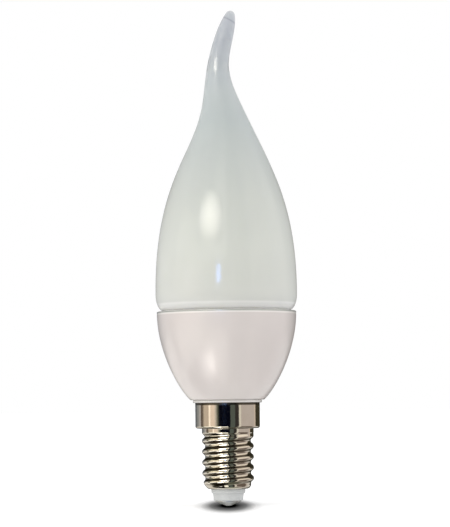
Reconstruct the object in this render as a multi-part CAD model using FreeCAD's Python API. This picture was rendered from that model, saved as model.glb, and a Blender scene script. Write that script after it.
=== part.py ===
import FreeCAD, Part
import math
import os

# A candle bulb for a small screw lampholder: a frosted flame-shaped cover with a bent tip, a white
# bowl-shaped housing, a screw cap with its skirt, an insulator in the cap's end and a centre contact.
# The lamp is sealed, so the cover and the housing are solid inside.
# Millimetres. +Z is up along the lamp's axis, and the origin is the lowest point of the centre contact.
# The tip bends in the XZ plane: first towards -X, then back over the axis towards +X.

# Centre contact: a shallow cone with a flat nose, and a shank through the insulator
contact_radius = 3.4
contact_nose_radius = 0.7
contact_cone_height = 1.15
contact_rim_height = 0.25
contact_shank_radius = 0.9
contact_rivet_flange = 0.9
contact_rivet_height = 0.25

# Insulator: a tapered stub below the screw shell, and a flange that fills the shell's nose
insulator_tip_margin = 0.45
insulator_stub_taper = 0.25
insulator_stub_height = 1.9
insulator_collar_step = 0.4
insulator_collar_height = 1.15
insulator_edge_round = 0.3
insulator_rim_height = 0.6

# Screw cap: thin sheet, drawn to a skirt and a shell with a rolled round thread
cap_wall = 0.3
thread_crest_radius = 6.85
thread_depth = 0.8
thread_pitch = 2.822
thread_length = 14.95
thread_runout = 1.4
thread_crest_height = 7.0
shell_collar_length = 1.0
shell_nose_height = 1.3
shell_lip_width = 0.35
skirt_step = 1.7
skirt_height = 6.75
skirt_corner_round = 0.6
skirt_rim_round = 0.1

# Housing: a bowl with a foot ring on the cap's skirt, and a neck that fills the cap
housing_rim_radius = 18.5
housing_height = 24.2
housing_foot_step = 0.6
foot_ring_overhang = 0.6
foot_ring_height = 0.75
foot_ring_round = 0.3
rim_edge_round = 0.25
bowl_rim_pull = 11.0
bowl_foot_pull = 3.5
bowl_foot_slope = 49.4
rim_land_width = 1.6
cover_seat_depth = 3.2

# Cover: a flame outline about a spine that leans one way and hooks back
seam_gap = 0.35
cover_base_setback = 1.3
cover_belly_overhang = 0.3
cover_belly_height = 4.4
shoulder_base_pull = 0.9
shoulder_base_slope = 63.0
shoulder_belly_pull = 2.6
cover_neck_radius = 2.88
cover_neck_height = 65.3
cover_tail_height = 14.1
cover_tip_radius = 1.17
belly_pull = 33.9
neck_pull = 23.0
neck_taper = 7.3
tail_neck_pull = 4.0
tail_tip_pull = 4.0
tail_tip_taper = 23.0
spine_straight_height = 38.0
spine_lean = 1.62
spine_lean_below_neck = 1.5
spine_hook = 1.9
spine_start_pull = 17.0
spine_lean_pull = 8.0
spine_return_pull = 5.0
spine_tip_pull = 4.2
spine_tip_angle = 13.0

# Clearances of the fits, and how finely the curved forms are sampled
slip_fit = 0.08
end_gap = 0.3
sections_in_tail = 16
grid_rows_per_pitch = 8
grid_columns = 20
nose_rows = 4

# Radii that follow each other outwards from the contact, the thread and the housing's rim
contact_rivet_radius = contact_shank_radius + contact_rivet_flange
insulator_tip_radius = contact_radius + insulator_tip_margin
insulator_stub_radius = insulator_tip_radius + insulator_stub_taper
insulator_collar_radius = insulator_stub_radius + insulator_collar_step
thread_root_radius = thread_crest_radius - thread_depth
skirt_radius = thread_crest_radius + skirt_step
foot_ring_radius = skirt_radius + foot_ring_overhang
housing_foot_radius = foot_ring_radius + housing_foot_step
cover_spigot_radius = housing_rim_radius - rim_land_width
cover_base_radius = housing_rim_radius - cover_base_setback
cover_belly_radius = housing_rim_radius + cover_belly_overhang

# Heights above the contact's nose
contact_seat_z = contact_cone_height + contact_rim_height
collar_z = contact_seat_z + insulator_stub_height
shell_end_z = collar_z + insulator_collar_height
thread_top_z = shell_end_z + thread_length
skirt_z = thread_top_z + shell_collar_length
skirt_top_z = skirt_z + skirt_height
housing_rim_z = skirt_top_z + housing_height
cover_base_z = housing_rim_z + seam_gap
cover_seat_z = housing_rim_z - cover_seat_depth
flange_top_z = shell_end_z + shell_nose_height + insulator_rim_height
shank_top_z = flange_top_z + contact_rivet_height
cover_belly_z = cover_base_z + cover_belly_height
cover_neck_z = cover_base_z + cover_neck_height
cover_tip_z = cover_neck_z + cover_tail_height
spine_start_z = cover_base_z + spine_straight_height
spine_lean_z = cover_neck_z - spine_lean_below_neck

LAMP_AXIS = FreeCAD.Vector(0, 0, 1)
ORIGIN = FreeCAD.Vector(0, 0, 0)


def point(radius, z):
    """A point of an outline in the XZ plane, at a radius from the lamp's axis."""
    return FreeCAD.Vector(radius, 0, z)


def line(start, end):
    return Part.makeLine(start, end)


def bezier(*poles):
    curve = Part.BezierCurve()
    curve.setPoles(list(poles))
    return curve


def quarter_round(start, corner, end):
    """An arc that leaves start towards the corner and arrives at end, which lies as far from it."""
    centre = start + end - corner
    middle = centre + (corner - centre) * (1 / math.sqrt(2))
    return Part.Arc(start, middle, end).toShape()


def turned(edges):
    """The solid that a closed outline makes when it is turned about the lamp's axis."""
    return Part.Face(Part.Wire(edges)).revolve(ORIGIN, LAMP_AXIS, 360)


def cylinder(radius, bottom_z, top_z):
    return Part.makeCylinder(radius, top_z - bottom_z, FreeCAD.Vector(0, 0, bottom_z), LAMP_AXIS)


def polar(radius, degrees):
    angle = math.radians(degrees)
    return radius * math.sin(angle), radius * math.cos(angle)


# Centre contact

def make_centre_contact():
    """A plate with a conical underside and a shank that is riveted over on the insulator."""
    outline = [
        point(0, 0),
        point(contact_nose_radius, 0),
        point(contact_radius, contact_cone_height),
        point(contact_radius, contact_seat_z),
        point(contact_shank_radius, contact_seat_z),
        point(contact_shank_radius, flange_top_z),
        point(contact_rivet_radius, flange_top_z),
        point(contact_rivet_radius, shank_top_z),
        point(0, shank_top_z),
    ]
    closed = zip(outline, outline[1:] + outline[:1])
    return turned([line(start, end) for start, end in closed])


# Insulator

def make_insulator():
    """A tapered stub, a collar in the shell's mouth and a flange that the shell's lip holds."""
    edge = insulator_edge_round
    flange_radius = thread_root_radius - cap_wall - slip_fit
    bore_radius = contact_shank_radius + slip_fit
    tip_start = point(insulator_tip_radius - edge, contact_seat_z)
    tip_end = point(insulator_tip_radius, contact_seat_z + edge)
    stub_top = point(insulator_stub_radius, collar_z)
    collar_foot = point(insulator_collar_radius, collar_z)
    collar_top = point(insulator_collar_radius, shell_end_z + cap_wall)
    flange_side = point(flange_radius, shell_end_z + shell_nose_height + slip_fit)
    flange_top = point(flange_radius, flange_top_z)
    bore_top = point(bore_radius, flange_top_z)
    bore_foot = point(bore_radius, contact_seat_z)
    return turned([
        line(bore_foot, tip_start),
        quarter_round(tip_start, point(insulator_tip_radius, contact_seat_z), tip_end),
        line(tip_end, stub_top),
        line(stub_top, collar_foot),
        line(collar_foot, collar_top),
        line(collar_top, flange_side),
        line(flange_side, flange_top),
        line(flange_top, bore_top),
        line(bore_top, bore_foot),
    ])


# Screw cap

def thread_share(height, inset):
    """How far a point of the round thread lies from root, 0, to crest, 1, at a height from a crest.
    Two equal arcs, for the crest and the root, meet in a tangent on the outside. The inside of the
    sheet is inset by the wall, which makes the crest's arc smaller and the root's arc larger."""
    depth = thread_depth
    half = thread_pitch / 2
    arc_radius = (half * half + depth * depth) / (4 * depth)
    crest_arc = arc_radius - inset
    root_arc = arc_radius + inset
    offset = abs((height + half) % thread_pitch - half)
    if offset <= crest_arc / arc_radius * half / 2:
        return 1 - (crest_arc - math.sqrt(crest_arc ** 2 - offset ** 2)) / depth
    return (root_arc - math.sqrt(root_arc ** 2 - (half - offset) ** 2)) / depth


def smooth(share):
    share = max(0.0, min(1.0, share))
    return share * share * (3 - 2 * share)


def pole_gain(poles_per_wave):
    """How much further a cubic spline's poles swing than the even wave that the spline follows."""
    return 3 / (2 + math.cos(2 * math.pi / poles_per_wave))


def shell_rows(inset, top_z):
    """Rows of the shell from its end to the skirt: height, root radius and crest radius. The end is
    a quarter ellipse, and near the skirt the roots run out until they lie at the crest radius."""
    foot_radius = insulator_collar_radius + slip_fit + shell_lip_width
    root = thread_root_radius - inset
    crest = thread_crest_radius - inset
    foot_z = shell_end_z + inset
    nose_height = shell_nose_height - inset
    rows = []
    for step in range(nose_rows):
        angle = math.pi / 2 * step / nose_rows
        z = foot_z + nose_height * (1 - math.cos(angle))
        nose_radius = foot_radius + (root - foot_radius) * math.sin(angle)
        ridge = (crest - root) * smooth((z - foot_z) / thread_pitch)
        rows.append((z, nose_radius, nose_radius + ridge))
    nose_top_z = foot_z + nose_height
    steps = math.ceil((top_z - nose_top_z) / (thread_pitch / grid_rows_per_pitch))
    for step in range(steps + 1):
        z = nose_top_z + (top_z - nose_top_z) * step / steps
        ridge = (crest - root) * smooth((z - foot_z) / thread_pitch)
        runout = smooth((z - thread_top_z + thread_runout) / thread_runout)
        rows.append((z, root + (crest - root) * runout, root + max(ridge, (crest - root) * runout)))
    return rows


def threaded_body(inset, top_z):
    """The inside of a surface that follows the right-hand round thread, closed by two flat discs.
    The surface is a cubic B-spline, periodic round the axis, with its poles set by the formula."""
    ridge_gain = pole_gain(grid_rows_per_pitch)
    circle_gain = pole_gain(grid_columns)
    poles = []
    for column in range(grid_columns):
        turn = column / grid_columns
        angle = 2 * math.pi * turn
        crest_z = shell_end_z + thread_crest_height + thread_pitch * (turn - 0.5)
        strip = []
        for z, root, crest in shell_rows(inset, top_z):
            swing = (thread_share(z - crest_z, inset) - 0.5) * ridge_gain
            radius = ((root + crest) / 2 + (crest - root) * swing) * circle_gain
            strip.append(FreeCAD.Vector(radius * math.cos(angle), radius * math.sin(angle), z))
        poles.append(strip)
    rows = len(poles[0])
    surface = Part.BSplineSurface()
    surface.buildFromPolesMultsKnots(
        poles,
        [1] * (grid_columns + 1),
        [4] + [1] * (rows - 4) + [4],
        list(range(grid_columns + 1)),
        list(range(rows - 2)),
        True,
        False,
        3,
        3,
    )
    side = surface.toShape()
    rims = [edge for edge in side.Edges if edge.BoundBox.ZLength < cap_wall / 10]
    discs = [Part.Face(Part.Wire([rim])) for rim in rims]
    shell = Part.Shell([side] + discs)
    shell.sewShape()
    return Part.Solid(shell)


def skirt_body():
    """The skirt as a full disc, with a rounded lower corner and a slightly rounded upper rim."""
    corner = skirt_corner_round
    rim = skirt_rim_round
    floor_end = point(skirt_radius - corner, skirt_z)
    side_start = point(skirt_radius, skirt_z + corner)
    side_end = point(skirt_radius, skirt_top_z - rim)
    rim_end = point(skirt_radius - rim, skirt_top_z)
    return turned([
        line(point(0, skirt_z), floor_end),
        quarter_round(floor_end, point(skirt_radius, skirt_z), side_start),
        line(side_start, side_end),
        quarter_round(side_end, point(skirt_radius, skirt_top_z), rim_end),
        line(rim_end, point(0, skirt_top_z)),
        line(point(0, skirt_top_z), point(0, skirt_z)),
    ])


def make_screw_cap():
    """One drawn sheet: the skirt, the step, the shell with its rolled thread, and the turned-in lip
    round the insulator's collar. The wall is as thick all over, so the thread shows inside too."""
    floor_top_z = skirt_z + cap_wall
    outside = skirt_body().fuse(threaded_body(0, skirt_z + cap_wall / 2))
    skirt_hollow = cylinder(skirt_radius - cap_wall, floor_top_z, skirt_top_z + cap_wall)
    shell_hollow = threaded_body(cap_wall, floor_top_z + cap_wall)
    mouth = cylinder(insulator_collar_radius + slip_fit, shell_end_z - cap_wall, shell_end_z + 2 * cap_wall)
    return outside.cut(skirt_hollow).cut(shell_hollow).cut(mouth)


# Housing

def make_housing():
    """A bowl whose rim takes the cover's spigot, a foot ring that stands on the skirt's rim, and a
    stepped neck that goes down inside the skirt and the screw shell."""
    foot_z = skirt_top_z
    ring_top_z = foot_z + foot_ring_height
    ring = foot_ring_round
    edge = rim_edge_round
    seat_radius = cover_spigot_radius + slip_fit
    skirt_neck_radius = skirt_radius - cap_wall - slip_fit
    skirt_neck_z = skirt_z + cap_wall + end_gap
    shell_neck_radius = thread_root_radius - cap_wall - slip_fit
    shell_neck_z = shank_top_z + end_gap
    pull_in, pull_up = polar(bowl_foot_pull, bowl_foot_slope)
    bowl_top = point(housing_rim_radius, housing_rim_z - edge)
    bowl_foot = point(housing_foot_radius, ring_top_z)
    bowl = bezier(
        bowl_top,
        point(housing_rim_radius, housing_rim_z - bowl_rim_pull),
        point(housing_foot_radius + pull_in, ring_top_z + pull_up),
        bowl_foot,
    ).toShape()
    rim_end = point(housing_rim_radius - edge, housing_rim_z)
    ring_foot = point(foot_ring_radius - ring, foot_z)
    ring_side_foot = point(foot_ring_radius, foot_z + ring)
    ring_side_top = point(foot_ring_radius, ring_top_z - ring)
    ring_top = point(foot_ring_radius - ring, ring_top_z)
    straight = [
        rim_end,
        point(seat_radius, housing_rim_z),
        point(seat_radius, cover_seat_z),
        point(0, cover_seat_z),
        point(0, shell_neck_z),
        point(shell_neck_radius, shell_neck_z),
        point(shell_neck_radius, skirt_neck_z),
        point(skirt_neck_radius, skirt_neck_z),
        point(skirt_neck_radius, foot_z),
        ring_foot,
    ]
    edges = [line(start, end) for start, end in zip(straight, straight[1:])]
    edges.append(quarter_round(ring_foot, point(foot_ring_radius, foot_z), ring_side_foot))
    edges.append(line(ring_side_foot, ring_side_top))
    edges.append(quarter_round(ring_side_top, point(foot_ring_radius, ring_top_z), ring_top))
    edges.append(line(ring_top, bowl_foot))
    edges.append(bowl)
    edges.append(quarter_round(bowl_top, point(housing_rim_radius, housing_rim_z), rim_end))
    return turned(edges)


# Cover

def flame_curves():
    """The outline's radius against height: the rounded shoulder, the belly up to the neck, the tail."""
    base_out, base_up = polar(shoulder_base_pull, shoulder_base_slope)
    shoulder = bezier(
        point(cover_base_radius, cover_base_z),
        point(cover_base_radius + base_out, cover_base_z + base_up),
        point(cover_belly_radius, cover_belly_z - shoulder_belly_pull),
        point(cover_belly_radius, cover_belly_z),
    )
    neck_out, neck_down = polar(neck_pull, neck_taper)
    belly = bezier(
        point(cover_belly_radius, cover_belly_z),
        point(cover_belly_radius, cover_belly_z + belly_pull),
        point(cover_neck_radius + neck_out, cover_neck_z - neck_down),
        point(cover_neck_radius, cover_neck_z),
    )
    tail_in, tail_up = polar(tail_neck_pull, neck_taper)
    tip_out, tip_down = polar(tail_tip_pull, tail_tip_taper)
    tail = bezier(
        point(cover_neck_radius, cover_neck_z),
        point(cover_neck_radius - tail_in, cover_neck_z + tail_up),
        point(cover_tip_radius + tip_out, cover_tip_z - tip_down),
        point(cover_tip_radius, cover_tip_z),
    )
    return shoulder, belly, tail


def spine_curves():
    """The line through the middle of the bent part: a lean to -X, then a hook back to +X."""
    lean = bezier(
        point(0, spine_start_z),
        point(0, spine_start_z + spine_start_pull),
        point(-spine_lean, spine_lean_z - spine_lean_pull),
        point(-spine_lean, spine_lean_z),
    )
    tip_side, tip_down = polar(spine_tip_pull, spine_tip_angle)
    hook = bezier(
        point(-spine_lean, spine_lean_z),
        point(-spine_lean, spine_lean_z + spine_return_pull),
        point(spine_hook - tip_side, cover_tip_z - tip_down),
        point(spine_hook, cover_tip_z),
    )
    return lean, hook


def at_height(curves, z):
    """The parameter and the curve, of several that follow each other upwards, that reach a height."""
    curve = next((c for c in curves if z <= c.getPole(c.NbPoles).z), curves[-1])
    low, high = 0.0, 1.0
    for _ in range(40):
        middle = (low + high) / 2
        if curve.value(middle).z < z:
            low = middle
        else:
            high = middle
    return curve, high


def make_cover():
    """One blown piece: a spigot in the housing's rim, a turned belly, a lofted tail whose round
    sections stand square to the spine, and a rounded tip."""
    shoulder, belly, tail = flame_curves()
    lean, hook = spine_curves()
    lower_belly = belly.copy()
    lower_belly.segment(0.0, at_height([belly], spine_start_z)[1])
    bend_radius = lower_belly.EndPoint.x
    body = turned([
        line(point(0, cover_seat_z), point(cover_spigot_radius, cover_seat_z)),
        line(point(cover_spigot_radius, cover_seat_z), point(cover_spigot_radius, cover_base_z)),
        line(point(cover_spigot_radius, cover_base_z), shoulder.StartPoint),
        shoulder.toShape(),
        lower_belly.toShape(),
        line(point(bend_radius, spine_start_z), point(0, spine_start_z)),
        line(point(0, spine_start_z), point(0, cover_seat_z)),
    ])
    rings = []
    for step in range(sections_in_tail + 1):
        z = spine_start_z + (cover_tip_z - spine_start_z) * step / sections_in_tail
        outline, share = at_height([belly, tail], z)
        radius = outline.value(share).x
        spine, along = at_height([lean, hook], z)
        rings.append(Part.Wire([Part.makeCircle(radius, spine.value(along), spine.tangent(along)[0])]))
    bent = Part.makeLoft(rings, True, False)
    tip_way = hook.tangent(1.0)[0]
    taper = math.radians(tail_tip_taper)
    tip_centre = hook.EndPoint - tip_way * cover_tip_radius * math.tan(taper)
    tip = Part.makeSphere(cover_tip_radius / math.cos(taper), tip_centre, tip_way, tail_tip_taper, 90, 360)
    return body.fuse([bent, tip]).removeSplitter()


def main():
    pieces = {
        "cover": make_cover(),
        "housing": make_housing(),
        "screw_cap": make_screw_cap(),
        "insulator": make_insulator(),
        "centre_contact": make_centre_contact(),
    }
    os.makedirs("parts", exist_ok=True)
    for name, shape in pieces.items():
        reach = "z %.2f to %.2f" % (shape.BoundBox.ZMin, shape.BoundBox.ZMax)
        print(name, shape.isValid(), len(shape.Solids), round(shape.Volume, 1), reach)
        shape.exportStep("parts/" + name + ".step")


main()
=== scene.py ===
import math

import bpy
import numpy as np
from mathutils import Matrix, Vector


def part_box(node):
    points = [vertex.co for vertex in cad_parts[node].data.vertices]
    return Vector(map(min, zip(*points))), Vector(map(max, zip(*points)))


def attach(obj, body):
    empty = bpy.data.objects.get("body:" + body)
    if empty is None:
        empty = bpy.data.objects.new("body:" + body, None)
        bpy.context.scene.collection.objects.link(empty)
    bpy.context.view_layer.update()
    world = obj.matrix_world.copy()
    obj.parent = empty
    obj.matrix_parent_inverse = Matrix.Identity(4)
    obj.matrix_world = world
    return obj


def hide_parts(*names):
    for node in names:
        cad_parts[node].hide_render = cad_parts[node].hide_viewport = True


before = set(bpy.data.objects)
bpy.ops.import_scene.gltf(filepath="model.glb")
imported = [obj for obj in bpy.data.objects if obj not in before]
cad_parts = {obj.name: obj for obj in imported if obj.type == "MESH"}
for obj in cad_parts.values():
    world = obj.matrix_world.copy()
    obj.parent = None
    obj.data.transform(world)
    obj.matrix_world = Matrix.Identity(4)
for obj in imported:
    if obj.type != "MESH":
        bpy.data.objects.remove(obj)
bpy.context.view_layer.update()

# A candle bulb with a bent tip, upright on its centre contact, as the frame holds it.
# Shapes are worked out in millimetres in the frame's axes and scaled once, when a mesh is made.
# The lamp's axis is Z. The tip bends in the XZ plane, and the photograph looks along +Y.

MM = 0.001


# Sizes of the lamp, in millimetres

def node_reach(node):
    """The largest radius along X of a node, and its lowest and highest point, in millimetres."""
    low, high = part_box(node)
    return high.x / MM, low.z / MM, high.z / MM


contact_radius, contact_foot, contact_top = node_reach("centre_contact")
flange_radius, insulator_foot, flange_top = node_reach("insulator")
skirt_radius, shell_end, skirt_top = node_reach("screw_cap")
rim_radius, neck_foot, rim_top = node_reach("housing")
belly_radius, cover_seat, cover_top = node_reach("cover")

# Contact and insulator
contact_nose_radius = 0.7
contact_cone_height = 1.15
shank_radius = 0.9
rivet_radius = 1.8
bore_radius = 0.98
stub_foot_radius = 3.85
stub_top_radius = 4.1
collar_radius = 4.5
collar_foot = 3.3
collar_top = 4.75
flange_foot = 5.83
insulator_softness = 0.2

# Screw cap
wall = 0.3
crest_radius = 6.85
root_radius = 6.05
pitch = 2.822
first_crest_height = 7.0
lip_radius = 4.58
lip_width = 0.35
nose_height = 1.3
thread_top = 19.4
thread_runout = 1.4
skirt_foot = 20.4
skirt_corner = 0.6
skirt_rim_round = 0.1

# Housing
shell_neck_radius = 5.67
skirt_neck_radius = 8.17
neck_step = 21.0
foot_ring_radius = 9.15
foot_ring_top = 27.9
foot_ring_round = 0.3
bowl_foot_radius = 9.75
bowl_foot_pull = (2.657, 2.278)
bowl_rim_pull = 11.0
rim_round = 0.25
seat_radius = 16.98

# Cover
spigot_radius = 16.9
cover_base = 51.7
base_radius = 17.2
belly_foot = 56.1
shoulder_start = (0.04, 0.02)
shoulder_pull = (0.8, 0.41)
shoulder_belly_pull = 2.6
belly_pull = 33.9
neck_height = 117.0
neck_radius = 2.88
neck_pull = (2.92, 22.81)
tail_top = 131.1
tail_radius = 1.17
tail_neck_pull = (0.51, 3.97)
tail_tip_pull = (1.563, 3.682)
tail_taper = math.radians(23.0)
bend_foot = 89.7
bend_start_pull = 17.0
lean = 1.62
lean_height = 115.5
lean_pull = 8.0
hook = 1.9
hook_start_pull = 5.0
hook_tip_pull = (0.945, 4.09)
seam_softness = 0.05

# How far a corner is eased where nothing else is said
edge_softness = 0.08

# How finely the surfaces are divided: columns round the axis, rows along an outline
COLUMNS = 160
CAP_COLUMNS = 192
END_COLUMNS = 96
ROW_STEP = 0.45
NOSE_ROWS = 9
SHELL_ROWS_OUTSIDE = 124
SHELL_ROWS_INSIDE = 60
BOWL_ROWS = 72
SHOULDER_ROWS = 24
BELLY_ROWS = 110
TAIL_ROWS = 30
TIP_ROWS = 12
SPINE_POINTS = 200

# Points of an outline that are nearer to each other than this are one
SAME_POINT = 1e-6

# The value on the cap's mesh that tells its metal how steep the thread is, and the angle in degrees
# from upright at which it reaches 1
FLANK = "flank"
STEEPEST = 50


# Outlines, as rows of radius and height

def cubic(start, start_pull, end_pull, end, count):
    """A cubic Bezier curve: the four points weighted by (1-t)^3, 3t(1-t)^2, 3t^2(1-t) and t^3."""
    t = np.linspace(0, 1, count)[:, None]
    s = 1 - t
    weights = np.concatenate([s ** 3, 3 * s * s * t, 3 * s * t * t, t ** 3], axis=1)
    return weights @ np.array([start, start_pull, end_pull, end], float)


def soft_corners(corners, softness=edge_softness):
    """Straight runs through the corners, each corner eased by a parabola that leaves and meets its
    sides at the softness. Runs are divided evenly into steps no longer than the row step."""
    corners = np.array(corners, float)
    runs = np.diff(corners, axis=0)
    lengths = np.linalg.norm(runs, axis=1)
    ways = runs / lengths[:, None]
    pieces = []
    start = corners[0]
    for index, corner in enumerate(corners[1:-1]):
        ease = min(softness, lengths[index] / 2, lengths[index + 1] / 2)
        before = corner - ways[index] * ease
        after = corner + ways[index + 1] * ease
        pieces.append(straight(start, before))
        pieces.append(parabola(before, corner, after))
        start = after
    pieces.append(straight(start, corners[-1]))
    return joined(*pieces)


def straight(start, end):
    """Points from start to end at even steps."""
    start, end = np.array(start, float), np.array(end, float)
    steps = max(1, math.ceil(np.linalg.norm(end - start) / ROW_STEP))
    return start + (end - start) * np.linspace(0, 1, steps + 1)[:, None]


def parabola(start, corner, end, count=5):
    """A quadratic Bezier curve: the points weighted by (1-t)^2, 2t(1-t) and t^2."""
    t = np.linspace(0, 1, count)[:, None]
    return (1 - t) ** 2 * start + 2 * t * (1 - t) * corner + t * t * end


def quarter(start, corner, end, count=7):
    """A quarter of an ellipse that leaves start towards the corner and meets end: centre +
    (start - centre) cos a + (end - centre) sin a."""
    start, corner, end = np.array(start, float), np.array(corner, float), np.array(end, float)
    angle = np.linspace(0, math.pi / 2, count)[:, None]
    centre = start + end - corner
    return centre + (start - centre) * np.cos(angle) + (end - centre) * np.sin(angle)


def joined(*parts):
    """Outlines one after another, without the doubled points where they meet."""
    points = np.concatenate([np.array(part, float) for part in parts])
    gaps = np.linalg.norm(np.diff(points, axis=0), axis=1)
    return points[np.concatenate([[True], gaps > SAME_POINT])]


# Surfaces, as rings of points

def turned(outline, columns=COLUMNS):
    """Rings of an outline turned about the lamp's axis: x = r cos a, y = r sin a, z = height."""
    angle = np.linspace(0, 2 * math.pi, columns, endpoint=False)
    radius, height = outline[:, :1], outline[:, 1:]
    return np.stack([radius * np.cos(angle), radius * np.sin(angle), height + 0 * angle], axis=-1)


def closed_mesh(name, rings, whole_loop):
    """A mesh of rings, rows by columns by xyz, in millimetres. Each ring is closed, and quads join it to
    the next one. A whole loop joins the last ring to the first. Otherwise the first and the last ring
    have no radius, and each becomes one pole with a fan of triangles."""
    rows, columns = rings.shape[:2]
    if whole_loop:
        points = rings.reshape(-1, 3)
        lower = np.arange(rows)
        upper = (lower + 1) % rows
        first = 0
    else:
        points = np.concatenate([rings[0, :1], rings[1:-1].reshape(-1, 3), rings[-1, :1]])
        lower = np.arange(rows - 3)
        upper = lower + 1
        first = 1
    near = np.arange(columns)
    far = (near + 1) % columns
    corners = [lower[:, None] * columns + near, lower[:, None] * columns + far,
               upper[:, None] * columns + far, upper[:, None] * columns + near]
    faces = (first + np.stack(corners, axis=-1).reshape(-1, 4)).tolist()
    if not whole_loop:
        last_ring = 1 + (rows - 3) * columns
        foot = np.stack([np.zeros(columns, int), 1 + far, 1 + near], axis=-1)
        top = np.stack([np.full(columns, len(points) - 1), last_ring + near, last_ring + far], axis=-1)
        faces += foot.tolist() + top.tolist()
    mesh = bpy.data.meshes.new(name)
    mesh.from_pydata((points * MM).tolist(), [], faces)
    mesh.polygons.foreach_set("use_smooth", np.ones(len(mesh.polygons), bool))
    mesh.validate()
    mesh.update()
    return mesh


def add_piece(name, mesh, material, node):
    """Shows a mesh in the place of a node of the frame."""
    piece = bpy.data.objects.new(name, mesh)
    bpy.context.scene.collection.objects.link(piece)
    mesh.materials.append(material)
    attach(piece, "root")
    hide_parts(node)


# The five pieces of the lamp

def contact_rings():
    """A shallow cone with a flat nose, a plate above it, and a shank riveted over on the insulator."""
    return turned(soft_corners([
        (0, contact_foot),
        (contact_nose_radius, contact_foot),
        (contact_radius, contact_cone_height),
        (contact_radius, insulator_foot),
        (shank_radius, insulator_foot),
        (shank_radius, flange_top),
        (rivet_radius, flange_top),
        (rivet_radius, contact_top),
        (0, contact_top),
    ]), END_COLUMNS)


def insulator_rings():
    """A tapered stub, a collar in the shell's mouth and a flange inside the shell, round a bore. The
    loop starts and ends at the bore's middle."""
    bore_middle = (bore_radius, (insulator_foot + flange_top) / 2)
    return turned(soft_corners([
        bore_middle,
        (bore_radius, insulator_foot),
        (stub_foot_radius, insulator_foot),
        (stub_top_radius, collar_foot),
        (collar_radius, collar_foot),
        (collar_radius, collar_top),
        (flange_radius, flange_foot),
        (flange_radius, flange_top),
        (bore_radius, flange_top),
        bore_middle,
    ], insulator_softness)[:-1], END_COLUMNS)


def steepness(rings):
    """How far each point's column leans there: its angle from upright over the steepest one, up to 1."""
    radius = np.hypot(rings[..., 0], rings[..., 1])
    run = np.abs(np.roll(radius, -1, axis=0) - np.roll(radius, 1, axis=0))
    rise = np.abs(np.roll(rings[..., 2], -1, axis=0) - np.roll(rings[..., 2], 1, axis=0))
    return np.clip(np.degrees(np.arctan2(run, rise)) / STEEPEST, 0, 1)


def smooth(share):
    """0 below 0, 1 above 1, and 3s^2 - 2s^3 between them."""
    share = np.clip(share, 0, 1)
    return share * share * (3 - 2 * share)


def thread_share(height, inset):
    """How far the round thread lies from root, 0, to crest, 1, at a height from a crest: two tangent
    arcs of radius (p^2/4 + d^2) / 4d, for the pitch p and the depth d. Inside the sheet the crest's arc
    is smaller and the root's larger."""
    depth = crest_radius - root_radius
    half = pitch / 2
    arc = (half * half + depth * depth) / (4 * depth)
    crest_arc, root_arc = arc - inset, arc + inset
    offset = np.abs((height + half) % pitch - half)
    on_crest = 1 - (crest_arc - np.sqrt(np.maximum(crest_arc ** 2 - offset ** 2, 0))) / depth
    on_root = (root_arc - np.sqrt(np.maximum(root_arc ** 2 - (half - offset) ** 2, 0))) / depth
    return np.where(offset <= crest_arc / arc * half / 2, on_crest, on_root)


def shell_rings(heights, inset):
    """The screw shell: radius = base + depth * (runout + (ridge - runout) * thread share), with the
    crest's height rising one pitch a turn. The base is a quarter ellipse at the shell's end."""
    angle = np.linspace(0, 2 * math.pi, CAP_COLUMNS, endpoint=False)
    z = heights[:, None]
    foot_z = shell_end + inset
    foot_radius = lip_radius + lip_width
    root = root_radius - inset
    depth = crest_radius - root_radius
    rise = np.clip((z - foot_z) / (nose_height - inset), 0, 1)
    base = foot_radius + (root - foot_radius) * np.sqrt(1 - (1 - rise) ** 2)
    runout = smooth((z - thread_top + thread_runout) / thread_runout)
    ridge = np.maximum(smooth((z - foot_z) / pitch), runout)
    crest_z = shell_end + first_crest_height + pitch * (angle / (2 * math.pi) - 0.5)
    share = thread_share(z - crest_z, inset)
    radius = base + depth * (runout + (ridge - runout) * share)
    return np.stack([radius * np.cos(angle), radius * np.sin(angle), z + 0 * angle], axis=-1)


def cap_rings():
    """One drawn sheet, as a loop of rings: the lip, the threaded shell, the step, the skirt, and back
    down inside at the wall's distance."""
    nose_turn = 1 - np.cos(np.linspace(0, math.pi / 2, NOSE_ROWS))
    outer_heights = np.concatenate([
        shell_end + nose_height * nose_turn,
        np.linspace(shell_end + nose_height, skirt_foot, SHELL_ROWS_OUTSIDE)[1:],
    ])
    inner_heights = np.concatenate([
        shell_end + wall + (nose_height - wall) * nose_turn,
        np.linspace(shell_end + nose_height, skirt_foot + wall, SHELL_ROWS_INSIDE)[1:],
    ])
    lip = straight((lip_radius, shell_end), (lip_radius + lip_width, shell_end))
    skirt = joined(
        soft_corners([(crest_radius, skirt_foot), (skirt_radius - skirt_corner, skirt_foot)]),
        quarter((skirt_radius - skirt_corner, skirt_foot), (skirt_radius, skirt_foot),
                (skirt_radius, skirt_foot + skirt_corner)),
        straight((skirt_radius, skirt_foot + skirt_corner), (skirt_radius, skirt_top - skirt_rim_round)),
        quarter((skirt_radius, skirt_top - skirt_rim_round), (skirt_radius, skirt_top),
                (skirt_radius - skirt_rim_round, skirt_top)),
        soft_corners([
            (skirt_radius - skirt_rim_round, skirt_top),
            (skirt_radius - wall, skirt_top),
            (skirt_radius - wall, skirt_foot + wall),
            (crest_radius - wall, skirt_foot + wall),
        ]),
    )
    return np.concatenate([
        turned(lip, CAP_COLUMNS)[:-1],
        shell_rings(outer_heights, 0),
        turned(skirt, CAP_COLUMNS)[1:-1],
        shell_rings(inner_heights[::-1], wall),
        turned(np.array([(lip_radius, shell_end + wall)]), CAP_COLUMNS),
    ])


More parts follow.
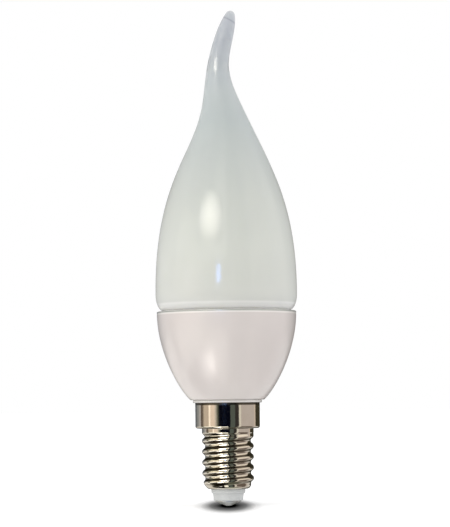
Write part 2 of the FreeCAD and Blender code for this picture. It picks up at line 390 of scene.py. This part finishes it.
def housing_rings():
    """A stepped neck, a foot ring, a bowl as one Bezier curve, a rim, and the seat for the cover."""
    bowl_foot = (bowl_foot_radius, foot_ring_top)
    bowl_top = (rim_radius, rim_top - rim_round)
    bowl = cubic(
        bowl_foot,
        (bowl_foot_radius + bowl_foot_pull[0], foot_ring_top + bowl_foot_pull[1]),
        (rim_radius, rim_top - bowl_rim_pull),
        bowl_top,
        BOWL_ROWS,
    )
    neck = soft_corners([
        (0, neck_foot),
        (shell_neck_radius, neck_foot),
        (shell_neck_radius, neck_step),
        (skirt_neck_radius, neck_step),
        (skirt_neck_radius, skirt_top),
        (foot_ring_radius - foot_ring_round, skirt_top),
    ])
    ring = joined(
        quarter((foot_ring_radius - foot_ring_round, skirt_top), (foot_ring_radius, skirt_top),
                (foot_ring_radius, skirt_top + foot_ring_round)),
        quarter((foot_ring_radius, foot_ring_top - foot_ring_round), (foot_ring_radius, foot_ring_top),
                (foot_ring_radius - foot_ring_round, foot_ring_top)),
        straight((foot_ring_radius - foot_ring_round, foot_ring_top), bowl_foot),
    )
    seat = soft_corners([
        (rim_radius - rim_round, rim_top),
        (seat_radius, rim_top),
        (seat_radius, cover_seat),
        (0, cover_seat),
    ])
    rim = quarter(bowl_top, (rim_radius, rim_top), (rim_radius - rim_round, rim_top))
    return turned(joined(neck, ring, bowl, rim, seat))


def spine_at(height):
    """The middle of the cover at a height: its shift along X and its tilt from the vertical, from two
    Bezier curves, one that leans to -X and one that hooks back to +X."""
    leaning = cubic(
        (0, bend_foot),
        (0, bend_foot + bend_start_pull),
        (-lean, lean_height - lean_pull),
        (-lean, lean_height),
        SPINE_POINTS,
    )
    hooking = cubic(
        (-lean, lean_height),
        (-lean, lean_height + hook_start_pull),
        (hook - hook_tip_pull[0], tail_top - hook_tip_pull[1]),
        (hook, tail_top),
        SPINE_POINTS,
    )
    line = joined(leaning, hooking)
    tilt = np.arctan2(np.gradient(line[:, 0]), np.gradient(line[:, 1]))
    return np.interp(height, line[:, 1], line[:, 0]), np.interp(height, line[:, 1], tilt)


def cover_rings():
    """A spigot, a rounded shoulder, a belly and a tail as Bezier curves of radius over height, and a
    ball-shaped tip. Each ring stands square to the spine: its middle + r cos a along the tilted X axis
    + r sin a along Y."""
    base = soft_corners([
        (0, cover_seat),
        (spigot_radius, cover_seat),
        (spigot_radius, cover_base),
        (base_radius, cover_base),
        (base_radius + shoulder_start[0], cover_base + shoulder_start[1]),
    ], seam_softness)
    shoulder = cubic(
        (base_radius, cover_base),
        (base_radius + shoulder_pull[0], cover_base + shoulder_pull[1]),
        (belly_radius, belly_foot - shoulder_belly_pull),
        (belly_radius, belly_foot),
        SHOULDER_ROWS,
    )
    belly = cubic(
        (belly_radius, belly_foot),
        (belly_radius, belly_foot + belly_pull),
        (neck_radius + neck_pull[0], neck_height - neck_pull[1]),
        (neck_radius, neck_height),
        BELLY_ROWS,
    )
    tail = cubic(
        (neck_radius, neck_height),
        (neck_radius - tail_neck_pull[0], neck_height + tail_neck_pull[1]),
        (tail_radius + tail_tip_pull[0], tail_top - tail_tip_pull[1]),
        (tail_radius, tail_top),
        TAIL_ROWS,
    )
    outline = joined(base[:-1], shoulder[1:], belly, tail)
    shift, tilt = spine_at(outline[:, 1])
    ball = tail_radius / math.cos(tail_taper)
    turn = np.linspace(tail_taper, math.pi / 2, TIP_ROWS)[1:]
    beyond = ball * np.sin(turn) - tail_radius * math.tan(tail_taper)
    radius = np.concatenate([outline[:, 0], ball * np.cos(turn)])
    tip_tilt = tilt[-1]
    shift = np.concatenate([shift, hook + beyond * math.sin(tip_tilt)])
    height = np.concatenate([outline[:, 1], tail_top + beyond * math.cos(tip_tilt)])
    tilt = np.concatenate([tilt, np.full(len(turn), tip_tilt)])
    radius[-1] = 0
    angle = np.linspace(0, 2 * math.pi, COLUMNS, endpoint=False)
    across = radius[:, None] * np.cos(angle)
    return np.stack([
        shift[:, None] + across * np.cos(tilt)[:, None],
        radius[:, None] * np.sin(angle),
        height[:, None] - across * np.sin(tilt)[:, None],
    ], axis=-1)


# Finishes

class Value:
    """A value in a material's node tree. An expression on values adds its Math nodes."""

    def __init__(self, finish, socket):
        self.finish = finish
        self.socket = socket

    def math(self, operation, first, second):
        """Adds a Math node."""
        return self.finish.node("ShaderNodeMath", {"operation": operation}, {0: first, 1: second})

    def __add__(self, other):
        return self.math("ADD", self, other)

    def __sub__(self, other):
        return self.math("SUBTRACT", self, other)

    def __rsub__(self, other):
        return self.math("SUBTRACT", other, self)

    def __mul__(self, other):
        return self.math("MULTIPLY", self, other)

    def __truediv__(self, other):
        return self.math("DIVIDE", self, other)

    def __pow__(self, other):
        return self.math("POWER", self, other)

    __radd__ = __add__
    __rmul__ = __mul__


class Finish:
    """A material and its node tree."""

    def __init__(self, name):
        self.material = bpy.data.materials.new(name)
        self.material.use_nodes = True
        self.tree = self.material.node_tree
        self.tree.nodes.clear()

    def node(self, kind, settings=None, inputs=None, output=0):
        """Adds a node with its settings first, then its inputs as numbers, colours or values."""
        node = self.tree.nodes.new(kind)
        for name, setting in (settings or {}).items():
            if name == "stops":
                set_stops(node.color_ramp, setting)
            else:
                setattr(node, name, setting)
        for name, given in (inputs or {}).items():
            if isinstance(given, Value):
                self.tree.links.new(given.socket, node.inputs[name])
            else:
                node.inputs[name].default_value = given
        return Value(self, node.outputs[output]) if len(node.outputs) else None

    def place(self):
        """The place on the piece, in metres."""
        return self.node("ShaderNodeTexCoord", output="Object")

    def noise(self, place, size, detail=2.0, roughness=0.5):
        """Soft noise from 0 to 1, with features of about the size in millimetres."""
        return self.node("ShaderNodeTexNoise", inputs={
            "Vector": place, "Scale": 1 / (size * MM), "Detail": detail, "Roughness": roughness})

    def ramp(self, share, stops):
        """The colour that a ramp gives a share from 0 to 1. Its stops are pairs of a share and a colour."""
        return self.node("ShaderNodeValToRGB", {"stops": stops}, {"Fac": share})

    def stretched(self, place, scale):
        """The place scaled apart along its axes, for marks that run along one of them."""
        return self.node("ShaderNodeMapping", inputs={"Vector": place, "Scale": scale})

    def fade(self, place):
        """1 - distance from the place's middle, down to 0."""
        return self.node(
            "ShaderNodeTexGradient", {"gradient_type": "SPHERICAL"}, {"Vector": place}, output="Fac")

    def mix(self, share, first, second):
        """A colour between two. Sockets 6 and 7 are the Mix node's colours, and output 2 is their mix."""
        return self.node(
            "ShaderNodeMix", {"data_type": "RGBA"}, {0: share, 6: first, 7: second}, output=2)

    def bump(self, height, distance, strength=1.0):
        """A normal from a height of 0 to 1 over a distance in millimetres."""
        return self.node("ShaderNodeBump", inputs={
            "Height": height, "Distance": distance * MM, "Strength": strength})

    def glow(self, colour, strength):
        """A finish that only gives light."""
        shader = self.node("ShaderNodeEmission", inputs={"Color": (*colour, 1.0), "Strength": strength})
        self.node("ShaderNodeOutputMaterial", inputs={"Surface": shader})
        return self.material

    def surface(self, **inputs):
        """The finish's shader, its inputs named with _ for a blank."""
        named = {name.replace("_", " "): given for name, given in inputs.items()}
        shader = self.node("ShaderNodeBsdfPrincipled", inputs=named)
        self.node("ShaderNodeOutputMaterial", inputs={"Surface": shader})
        return self.material


def set_stops(ramp, stops):
    """Gives a ramp its stops, as pairs of a share and a colour."""
    while len(ramp.elements) < len(stops):
        ramp.elements.new(1.0)
    for element, (share, colour) in zip(ramp.elements, stops):
        element.position = share
        element.color = colour


BLACK = (0, 0, 0, 1)
WHITE = (1, 1, 1, 1)
DULL = (0.14, 0.14, 0.14, 1)
GLOSSY = (0.65, 0.65, 0.65, 1)

# The bead at the tip lies beyond a slanting plane: height + slope * x = the bead's height, in
# millimetres. Its colours change along the span about that plane.
BEAD_HEIGHT = 130.1
BEAD_SLOPE = 0.55
BEAD_SPAN = 4.0


def shade(red, green, blue):
    """A colour as a shader takes it, from the 0 to 255 levels that a screen shows, by the sRGB curve."""
    levels = np.array([red, green, blue]) / 255
    linear = np.where(levels <= 0.04045, levels / 12.92, ((levels + 0.055) / 1.055) ** 2.4)
    return (*linear.tolist(), 1.0)


def opal_glass():
    """Frosted glass: pale grey-green, with a lower edge painted white as light from below and a thin
    painted highlight line above it, cooler, greyer and mottled up the tail, and faintly cloudy. Its smooth
    skin is duller above the belly, apart from a short stretch of the tail. The tip is a small bead with a
    thin dark line round its foot."""
    finish = Finish("opal_glass")
    place = finish.place()
    across = finish.node("ShaderNodeSeparateXYZ", inputs={"Vector": place}, output="X")
    height = finish.node("ShaderNodeSeparateXYZ", inputs={"Vector": place}, output="Z")
    up = (height - cover_base * MM) / ((cover_top - cover_base) * MM)
    # The lowest stops are painted light: a white lower edge for light from below, and above it a thin
    # bright line as a painted highlight.
    body = finish.ramp(up, [
        (0.0, shade(255, 255, 250)),
        (0.008, shade(255, 255, 250)),
        (0.0135, shade(232, 233, 227)),
        (0.0165, shade(246, 246, 241)),
        (0.0205, shade(246, 246, 241)),
        (0.024, shade(222, 223, 216)),
        (0.05, shade(222, 223, 216)),
        (0.2, shade(220, 222, 215)),
        (0.35, shade(212, 215, 209)),
        (0.62, shade(189, 196, 196)),
        (1.0, shade(167, 171, 178)),
    ])
    clouds = finish.noise(place, size=9.0, detail=3.0)
    body = finish.mix(clouds * 0.3, body, shade(206, 209, 206))
    mottle = finish.noise(place, size=1.6, detail=3.0, roughness=0.6)
    on_tail = finish.ramp(up, [(0.72, BLACK), (0.9, WHITE)])
    body = finish.mix(on_tail * mottle * 0.6, body, shade(146, 148, 162))
    beyond = (height + across * BEAD_SLOPE - BEAD_HEIGHT * MM) / (BEAD_SPAN * MM) + 0.5
    line = finish.ramp(beyond, [(0.4, BLACK), (0.47, WHITE), (0.53, WHITE), (0.6, BLACK)])
    bead = finish.ramp(beyond, [(0.52, BLACK), (0.6, WHITE)])
    body = finish.mix(bead * 0.6, body, shade(162, 167, 173))
    body = finish.mix(line * 0.5, body, shade(118, 122, 134))
    skin = finish.ramp(up, [
        (0.42, GLOSSY),
        (0.6, DULL),
        (0.785, DULL),
        (0.8, WHITE),
        (0.835, WHITE),
        (0.85, DULL),
    ])
    grain = finish.noise(place, size=0.25)
    return finish.surface(
        Base_Color=body,
        Roughness=0.5 + grain * 0.1,
        Specular_IOR_Level=0.1,
        Normal=finish.bump(grain, distance=0.004, strength=0.4),
        Subsurface_Weight=0.9,
        Subsurface_Radius=(1.0, 1.0, 0.95),
        Subsurface_Scale=12 * MM,
        Coat_Weight=skin,
        Coat_Roughness=0.08,
    )


def white_plastic():
    """Moulded white plastic with a satin gloss, faintly warm and mottled. From the skirt up come a painted
    shade line at the joint, a foot ring painted bright as a highlight, a groove painted dark as shade, the
    bowl, a little lighter towards its foot as painted light from below, and near the rim a painted
    highlight line, a painted shadow line at the seam, and the rim's top pale again."""
    finish = Finish("white_plastic")
    place = finish.place()
    height = finish.node("ShaderNodeSeparateXYZ", inputs={"Vector": place}, output="Z")
    up = (height - skirt_top * MM) / ((rim_top - skirt_top) * MM)
    # Painted light and shade: the joint and the groove dark as shade, the foot ring bright as a highlight,
    # the bowl lighter towards its foot, and near the rim a highlight line and a shadow line at the seam.
    body = finish.ramp(up, [
        (0.0, shade(150, 145, 140)),
        (0.004, shade(150, 145, 140)),
        (0.008, shade(250, 247, 243)),
        (0.029, shade(250, 247, 243)),
        (0.032, shade(196, 190, 186)),
        (0.036, shade(196, 190, 186)),
        (0.045, shade(236, 229, 225)),
        (0.25, shade(230, 222, 218)),
        (0.962, shade(228, 220, 216)),
        (0.967, shade(249, 244, 239)),
        (0.979, shade(249, 244, 239)),
        (0.9855, shade(166, 170, 164)),
        (0.995, shade(166, 170, 164)),
        (0.998, shade(240, 237, 232)),
    ])
    mottle = finish.noise(place, size=6.0, detail=3.0)
    colour = finish.mix(mottle * 0.25, body, shade(206, 198, 194))
    grain = finish.noise(place, size=0.3, detail=3.0, roughness=0.6)
    return finish.surface(
        Base_Color=colour,
        Roughness=0.28 + grain * 0.12,
        Normal=finish.bump(grain, distance=0.006, strength=0.5),
        Subsurface_Weight=0.08,
        Subsurface_Radius=(1.0, 0.9, 0.85),
        Subsurface_Scale=1.5 * MM,
        Coat_Weight=0.9,
        Coat_Roughness=0.22,
    )


def bright_nickel():
    """Nickel plate on drawn brass sheet: bright and faintly warm, with fine marks that run round it. The
    thread's flanks are darkened, partly as tarnish and partly as painted shade for the dark reflections
    between the crests, more towards -X and less on the nose, its crests stay bright, and a painted shade
    line runs under the housing."""
    finish = Finish("bright_nickel")
    place = finish.place()
    across = finish.node("ShaderNodeSeparateXYZ", inputs={"Vector": place}, output="X")
    height = finish.node("ShaderNodeSeparateXYZ", inputs={"Vector": place}, output="Z")
    flank = finish.node("ShaderNodeAttribute", {"attribute_name": FLANK}, output="Fac")
    along_turns = finish.stretched(place, (0.15, 0.15, 3.0))
    drawn = finish.noise(along_turns, size=0.5, detail=4.0, roughness=0.65)
    stain = finish.noise(place, size=2.5, detail=3.0)
    dents = finish.noise(place, size=1.4)
    last_millimetre = (height - (skirt_top - 1) * MM) / MM
    # Painted shade: the top of the skirt darkens under the housing's foot ring.
    shade_under_housing = finish.ramp(last_millimetre, [(0.35, BLACK), (0.5, WHITE)])
    # Tarnish and painted shade: the thread's flanks darken, more towards -X and less on the nose, for the
    # dark reflections between the crests.
    flanks = finish.ramp(flank + (stain - 0.5) * 0.4, [(0.42, BLACK), (0.68, WHITE)])
    nose_share = (height - shell_end * MM) / (nose_height * 2 * MM)
    above_nose = finish.ramp(nose_share, [(0.35, BLACK), (0.6, WHITE)])
    to_the_right = across / (crest_radius * MM)
    tarnish_and_shade = flanks * (0.25 + above_nose * 0.75) * (0.8 - to_the_right * 0.17)
    plate = finish.mix(stain, shade(236, 231, 219), shade(226, 218, 204))
    tarnished_and_shaded = finish.mix(tarnish_and_shade, plate, shade(78, 67, 44))
    return finish.surface(
        Base_Color=finish.mix(shade_under_housing * 0.92, tarnished_and_shaded, shade(70, 62, 50)),
        Metallic=1.0,
        Roughness=0.05 + drawn * 0.05 + flanks * 0.1 + shade_under_housing * 0.2,
        Normal=finish.bump(drawn * 0.2 + dents, distance=0.015, strength=0.6),
    )


def matt_insulator():
    """White moulding compound, matt and slightly grainy."""
    finish = Finish("matt_insulator")
    place = finish.place()
    grain = finish.noise(place, size=0.35, detail=3.0, roughness=0.6)
    return finish.surface(
        Base_Color=finish.mix(grain, shade(222, 224, 223), shade(206, 209, 209)),
        Roughness=0.5 + grain * 0.15,
        Normal=finish.bump(grain, distance=0.02, strength=0.5),
    )


def satin_contact():
    """Nickel-plated contact, satin, with marks from turning in the holder."""
    finish = Finish("satin_contact")
    place = finish.place()
    along_turns = finish.stretched(place, (1.0, 1.0, 4.0))
    rubbed = finish.noise(along_turns, size=0.4, detail=3.0, roughness=0.6)
    return finish.surface(
        Base_Color=finish.mix(rubbed, shade(226, 227, 226), shade(204, 206, 206)),
        Metallic=0.85,
        Roughness=0.3 + rubbed * 0.2,
        Normal=finish.bump(rubbed, distance=0.01, strength=0.6),
    )


def make_lamp():
    """The five pieces, each in the place of its node."""
    pieces = [
        ("frosted_cover", cover_rings(), False, opal_glass(), "cover", "cover"),
        ("bowl_housing", housing_rings(), False, white_plastic(), "housing", "housing"),
        ("threaded_cap", cap_rings(), True, bright_nickel(), "screw_cap", "cap_metal"),
        ("end_insulator", insulator_rings(), True, matt_insulator(), "insulator", "insulator"),
        ("end_contact", contact_rings(), False, satin_contact(), "centre_contact", "contact_metal"),
    ]
    for name, rings, whole_loop, material, node, slot in pieces:
        mesh = closed_mesh(name, rings, whole_loop)
        if node == "screw_cap":
            flank = mesh.attributes.new(FLANK, "FLOAT", "POINT")
            flank.data.foreach_set("value", steepness(rings).ravel())
        add_piece(name, mesh, material, node)


# Studio, in metres and degrees where nothing else is said

MIDDLE = np.array([0, 0, (contact_foot + cover_top) / 2 * MM])
CARD_DISTANCE = 1.6
CARD_STEP = 0.005
CARD_COLUMNS = 49
CARD_ROWS = 25
GLOW_DISTANCE = 1.3
LAMP_DISTANCE = 1.3
FLOOR_RADIUS = 4.0
FLOOR_CORNERS = 64

# How bright the world and the floor are for the lamp, and how bright the floor is for the camera
SKY_LEVEL = 0.84
FLOOR_LEVEL = 0.95
FLOOR_GAIN = 1.3

# The half width and the half depth of the painted shadow, a soft dark oval on the floor
SHADOW_HALF_WIDTH = 0.0095
SHADOW_HALF_DEPTH = 0.05

# The camera's roll in radians, its lens and sensor in millimetres, and the distances that it can see
CAMERA_PLACE = (0, -0.6, 0.0285)
CAMERA_TARGET = (-0.00026, 0, 0.06411)
CAMERA_ROLL = -0.0105
LENS = 154.36
SENSOR_WIDTH = 36.0
NEAREST_SEEN = 0.05
FARTHEST_SEEN = 50.0

# Cards that only reflections show, each in front of the ones before it: left and right azimuth, lower
# and upper elevation, colour
CARDS = [
    ("dark_room", -180, 180, -90, 90, (0.05, 0.045, 0.03)),
    ("olive_wall", -118, -90, -30, 56, (0.28, 0.30, 0.24)),
    ("pale_floor_left", -161, -112, -60, -8, (0.92, 0.89, 0.84)),
    ("pale_floor_right", 112, 149, -60, -8, (0.66, 0.64, 0.62)),
    ("cream_screens", -90, -45, -28, 28, (1.12, 1.06, 0.82)),
    ("cream_screens_middle", -45, -25, -38, 38, (1.13, 1.08, 0.88)),
    ("white_screens", -25, 2, -60, 60, (1.18, 1.14, 1.02)),
    ("dark_ceiling_left", -101, -25, 45, 90, (0.01, 0.008, 0.004)),
    ("dark_floor_left", -101, -25, -90, -52, (0.01, 0.008, 0.004)),
    ("low_band_left", -120, -54, -31, -26, (1.6, 1.6, 1.55)),
    ("low_band", -54, -27, -31.5, -28.5, (8.0, 8.0, 7.8)),
    ("low_band_right", -27, 2, -31, -26, (1.8, 1.8, 1.75)),
    ("low_screen", -97, -50, -22, -8, (1.3, 1.24, 1.12)),
    ("taupe_wall", 45, 116, -75, 75, (0.54, 0.48, 0.455)),
    ("taupe_ceiling", 45, 116, 14, 75, (0.98, 0.89, 0.79)),
    ("dark_table", 45, 105, -40, -9, (0.15, 0.12, 0.10)),
    ("white_floor_behind_right", 121, 180, -90, -48, (1.1, 1.1, 1.1)),
    ("white_floor_behind_left", -180, -140, -90, -48, (1.1, 1.1, 1.1)),
    ("white_floor_left", -140, -101, -90, -60, (1.1, 1.1, 1.1)),
    ("grey_wall_end", -180, -152, -7, 12, (0.13, 0.14, 0.16)),
    ("grey_wall_far", -152, -138, -7, 12, (0.17, 0.18, 0.19)),
    ("grey_wall_middle", -138, -124, -7, 12, (0.30, 0.31, 0.31)),
    ("grey_wall", -124, -111, -7, 12, (0.45, 0.43, 0.43)),
    ("brown_post", -111, -99, -7, 12, (0.14, 0.11, 0.09)),
    ("beige_wall_shade", -99, -93, -7, 12, (0.38, 0.32, 0.26)),
    ("beige_wall", -93, -71, -7, 12, (0.61, 0.51, 0.415)),
    ("bright_post", -71, -64, -7, 12, (1.25, 1.10, 0.94)),
    ("tan_wall", -64, -47, -7, 12, (0.87, 0.72, 0.60)),
    ("tan_wall_shade", -47, -43, -12, 12, (0.69, 0.61, 0.53)),
    ("tan_wall_dusk", -43, -39, -13, 13, (0.44, 0.40, 0.34)),
    ("tan_wall_dark", -39, -35, -13, 13, (0.19, 0.19, 0.155)),
    ("olive_edge", -35, -31, -14, 14, (0.06, 0.065, 0.05)),
    ("black_flag", -31, 10, -14, 14, (0.0005, 0.0008, 0.005)),
    ("black_column", 2, 10, -90, 90, (0.0015, 0.002, 0.007)),
    ("grey_slot", 10, 27, -90, 90, (0.095, 0.113, 0.10)),
    ("grey_slot_above", 10, 27, 14, 90, (0.16, 0.17, 0.14)),
    ("dark_slot", 27, 41, -90, 90, (0.037, 0.033, 0.031)),
    ("pale_post", 41, 49, -75, 75, (0.76, 0.72, 0.64)),
    ("olive_floor", 2, 111, -90, -56, (0.34, 0.37, 0.30)),
    ("right_post", 111, 118, -12, 12, (0.68, 0.58, 0.50)),
    ("window", -16.6, -7.8, 7.3, 12.1, (2.9, 5.9, 14.8)),
]

# Soft bright patches that only reflections show: azimuth, elevation, half width, half height,
# strength, colour
GLOWS = [
    ("key_screen", -29.0, 28.8, 21, 11.5, 13.5, (1.0, 0.95, 0.84)),
    ("table_end", -48, -43, 12, 12, 3.5, (1.0, 0.98, 0.96)),
    ("lit_table", -37, -42.5, 11.5, 9.5, 10.5, (1.0, 0.95, 0.88)),
]

# Softboxes that light the lamp and that reflections don't show: azimuth, elevation, width and height,
# power in watts, colour
SOFTBOXES = [
    ("key_softbox", -40, 31.5, (0.9, 0.5), 1.8, (1.0, 0.97, 0.93)),
    ("right_fill", 100, 12, (0.5, 0.9), 1.55, (0.93, 0.98, 1.12)),
    ("left_fill", -62, 3, (0.5, 0.9), 1.95, (1.0, 1.0, 1.0)),
]


def direction(azimuth, elevation):
    """The unit vector (cos e sin a, -cos e cos a, sin e), with the azimuth a from the camera's side, -Y,
    towards +X, and the elevation e, both in degrees."""
    azimuth, elevation = np.radians(azimuth), np.radians(elevation)
    return np.stack([
        np.cos(elevation) * np.sin(azimuth),
        -np.cos(elevation) * np.cos(azimuth),
        np.sin(elevation) + 0 * azimuth,
    ], axis=-1)


def look(place, target):
    """The turn that points a lamp's or a camera's -Z axis from its place at a target, +Z up."""
    return (Vector(target) - Vector(place)).to_track_quat("-Z", "Y").to_euler()


def reflections_only(name, mesh, material):
    """Shows a glowing mesh to reflections and to nothing else."""
    mesh.materials.append(material)
    card = bpy.data.objects.new(name, mesh)
    bpy.context.scene.collection.objects.link(card)
    card.visible_camera = False
    card.visible_diffuse = False
    card.visible_shadow = False
    card.visible_transmission = False
    return card


def grid_mesh(name, points):
    """A mesh of a grid of points, rows by columns by xyz, in metres."""
    rows, columns = points.shape[:2]
    near = np.arange(rows - 1)[:, None] * columns + np.arange(columns - 1)
    faces = np.stack([near, near + 1, near + columns + 1, near + columns], axis=-1)
    mesh = bpy.data.meshes.new(name)
    mesh.from_pydata(points.reshape(-1, 3).tolist(), [], faces.reshape(-1, 4).tolist())
    return mesh


def add_card(layer, name, left, right, bottom, top, colour):
    """An even card: a patch of a sphere about the lamp, a step nearer for each layer."""
    azimuth, elevation = np.meshgrid(
        np.linspace(left, right, CARD_COLUMNS),
        np.linspace(bottom, top, CARD_ROWS),
    )
    mesh = grid_mesh(name, direction(azimuth, elevation) * (CARD_DISTANCE - CARD_STEP * layer))
    reflections_only(name, mesh, Finish(name).glow(colour, strength=1.0))


def add_glow(name, azimuth, elevation, half_width, half_height, strength, colour):
    """A bright patch that fades from its middle to its edge, as a softbox does: a flat square of side 2,
    scaled to its size, with the strength times (1 - distance from the middle) ^ 0.7."""
    across, along = np.meshgrid([-1.0, 1.0], [-1.0, 1.0])
    mesh = grid_mesh(name, np.stack([across, along, 0 * across], axis=-1))
    finish = Finish(name)
    fade = finish.fade(finish.place())
    glow = reflections_only(name, mesh, finish.glow(colour, fade ** 0.7 * strength))
    glow.location = MIDDLE + direction(azimuth, elevation) * GLOW_DISTANCE
    glow.rotation_euler = look(glow.location, MIDDLE)
    glow.scale = (
        GLOW_DISTANCE * math.tan(math.radians(half_width)),
        GLOW_DISTANCE * math.tan(math.radians(half_height)),
        1,
    )


def add_floor():
    """A plain white disc under the contact, with a painted shadow round the contact: a soft dark oval. Its
    colour is brighter for the camera's own rays, so that the floor shows as white at the level of light
    that suits the lamp, and keeps the lamp's shadow. From below it is clear for those rays, so that a low
    view shows the lamp's underside."""
    mesh = bpy.data.meshes.new("floor")
    angle = np.linspace(0, 2 * math.pi, FLOOR_CORNERS, endpoint=False)
    rim = np.stack([np.cos(angle), np.sin(angle), 0 * angle], axis=-1) * FLOOR_RADIUS
    mesh.from_pydata(rim.tolist(), [], [list(range(FLOOR_CORNERS))])
    finish = Finish("white_floor")
    seen = finish.node("ShaderNodeLightPath", output="Is Camera Ray")
    oval = (1 / SHADOW_HALF_WIDTH, 1 / SHADOW_HALF_DEPTH, 1.0)
    # Painted shadow: the floor's colour darkens towards the middle of the oval, however it is lit.
    dark = finish.ramp(finish.fade(finish.stretched(finish.place(), oval)), [
        (0.0, BLACK),
        (0.2, shade(120, 120, 120)),
        (0.5, shade(232, 232, 232)),
        (0.8, WHITE),
    ])
    level = FLOOR_LEVEL + seen * (FLOOR_GAIN - FLOOR_LEVEL - dark * FLOOR_GAIN)
    colour = finish.node("ShaderNodeCombineXYZ", inputs={"X": level, "Y": level, "Z": level})
    white = finish.node("ShaderNodeBsdfDiffuse", inputs={"Color": colour})
    from_below = finish.node("ShaderNodeNewGeometry", output="Backfacing")
    clear = finish.node("ShaderNodeBsdfTransparent")
    one_sided = finish.node("ShaderNodeMixShader", inputs={0: seen * from_below, 1: white, 2: clear})
    finish.node("ShaderNodeOutputMaterial", inputs={"Surface": one_sided})
    mesh.materials.append(finish.material)
    floor = bpy.data.objects.new("floor", mesh)
    bpy.context.scene.collection.objects.link(floor)
    floor.visible_glossy = False


def light_world():
    """White for the camera, reflections and glass, and a plain soft level for what it lights."""
    world = bpy.data.worlds.new("studio")
    bpy.context.scene.world = world
    world.use_nodes = True
    tree = world.node_tree
    background = tree.nodes["Background"]
    paths = tree.nodes.new("ShaderNodeLightPath")
    seen = paths.outputs["Is Camera Ray"]
    for path in ("Is Glossy Ray", "Is Transmission Ray"):
        either = tree.nodes.new("ShaderNodeMath")
        either.operation = "MAXIMUM"
        tree.links.new(seen, either.inputs[0])
        tree.links.new(paths.outputs[path], either.inputs[1])
        seen = either.outputs[0]
    level = tree.nodes.new("ShaderNodeMapRange")
    level.inputs["To Min"].default_value = SKY_LEVEL
    level.inputs["To Max"].default_value = 1.0
    tree.links.new(seen, level.inputs["Value"])
    tree.links.new(level.outputs[0], background.inputs["Strength"])
    background.inputs["Color"].default_value = (1.0, 1.0, 1.0, 1.0)


def add_softbox(name, azimuth, elevation, size, power, colour):
    """An area lamp that looks at the middle of the bulb. Cards and glows stand for it in reflections."""
    data = bpy.data.lights.new(name, "AREA")
    data.shape = "ELLIPSE"
    data.size, data.size_y = size
    data.energy = power
    data.color = colour
    lamp = bpy.data.objects.new(name, data)
    bpy.context.scene.collection.objects.link(lamp)
    lamp.location = MIDDLE + direction(azimuth, elevation) * LAMP_DISTANCE
    lamp.rotation_euler = look(lamp.location, MIDDLE)
    lamp.visible_camera = False
    lamp.visible_glossy = False


def add_camera():
    """The photograph's view: from the front, at the height of the bowl's foot, tilted up."""
    data = bpy.data.cameras.new("camera")
    data.sensor_width = SENSOR_WIDTH
    data.lens = LENS
    data.clip_start = NEAREST_SEEN
    data.clip_end = FARTHEST_SEEN
    camera = bpy.data.objects.new("camera", data)
    bpy.context.scene.collection.objects.link(camera)
    camera.location = CAMERA_PLACE
    camera.rotation_euler = look(CAMERA_PLACE, CAMERA_TARGET)
    camera.rotation_euler.rotate_axis("Z", CAMERA_ROLL)
    bpy.context.scene.camera = camera


make_lamp()
add_floor()
for layer, card in enumerate(CARDS):
    add_card(layer, *card)
for glow in GLOWS:
    add_glow(*glow)
light_world()
for softbox in SOFTBOXES:
    add_softbox(*softbox)
add_camera()
bpy.context.scene.view_settings.view_transform = "Standard"
